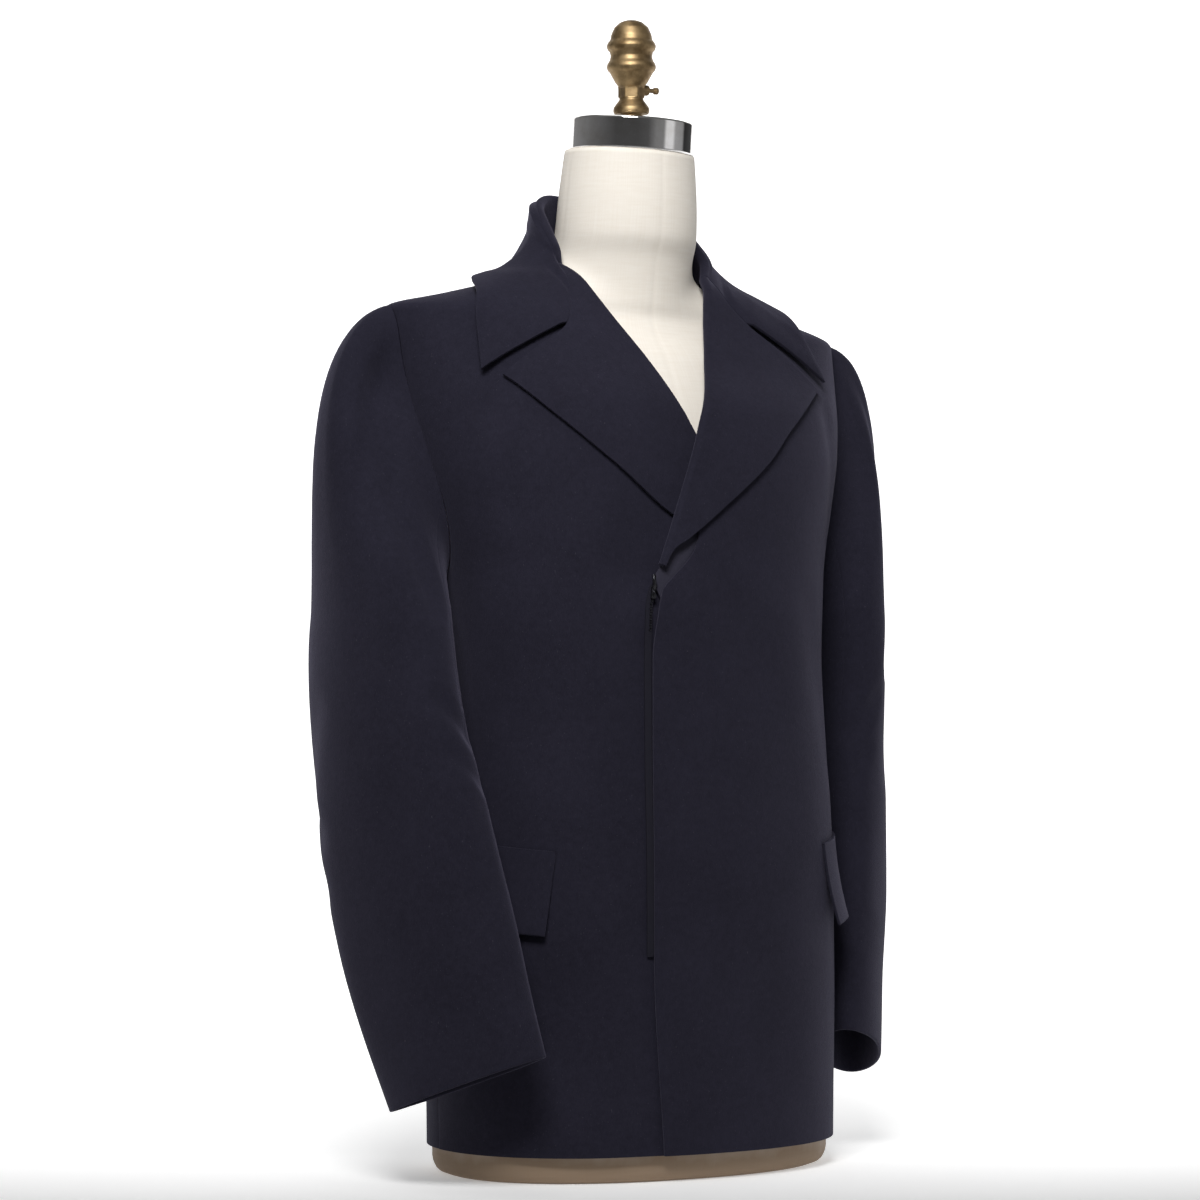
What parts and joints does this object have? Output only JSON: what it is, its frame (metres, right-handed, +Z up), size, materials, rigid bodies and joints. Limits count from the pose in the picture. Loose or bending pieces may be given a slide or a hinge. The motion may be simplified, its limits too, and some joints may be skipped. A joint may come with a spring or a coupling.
{
  "type": "overcoat on dress form",
  "caption": "Short dark wool overcoat with wide notched collar, hidden front zip and flap pockets, dressed on a limbless padded dress form with neck band and turned finial.",
  "frame": {"origin": "centre of the dress form's flat underside", "axes": "+Z up along the form's height, -Y the way the coat's front faces, +X the wearer's left"},
  "size_m": [0.5744, 0.3006, 0.987],
  "materials": {
    "navy_wool": "matt brushed wool",
    "cream_linen": "plain linen",
    "chrome": "polished",
    "brass": "satin",
    "grey_tape": "woven tape",
    "zip_metal": "satin"
  },
  "bodies": {
    "root": {"back": "navy_wool", "front_left": "navy_wool", "front_right": "navy_wool", "lapel_left": "navy_wool", "lapel_right": "navy_wool", "collar": "navy_wool", "top_sleeve_left": "navy_wool", "top_sleeve_right": "navy_wool", "under_sleeve_left": "navy_wool", "under_sleeve_right": "navy_wool", "pocket_flap_left": "navy_wool", "pocket_flap_right": "navy_wool", "form": "cream_linen", "neck_band": "chrome", "finial": "brass", "set_screw": "brass", "zip_tape": "grey_tape", "zip_tape_end": "grey_tape", "zip_slider": "zip_metal"}
  },
  "joints": []
}
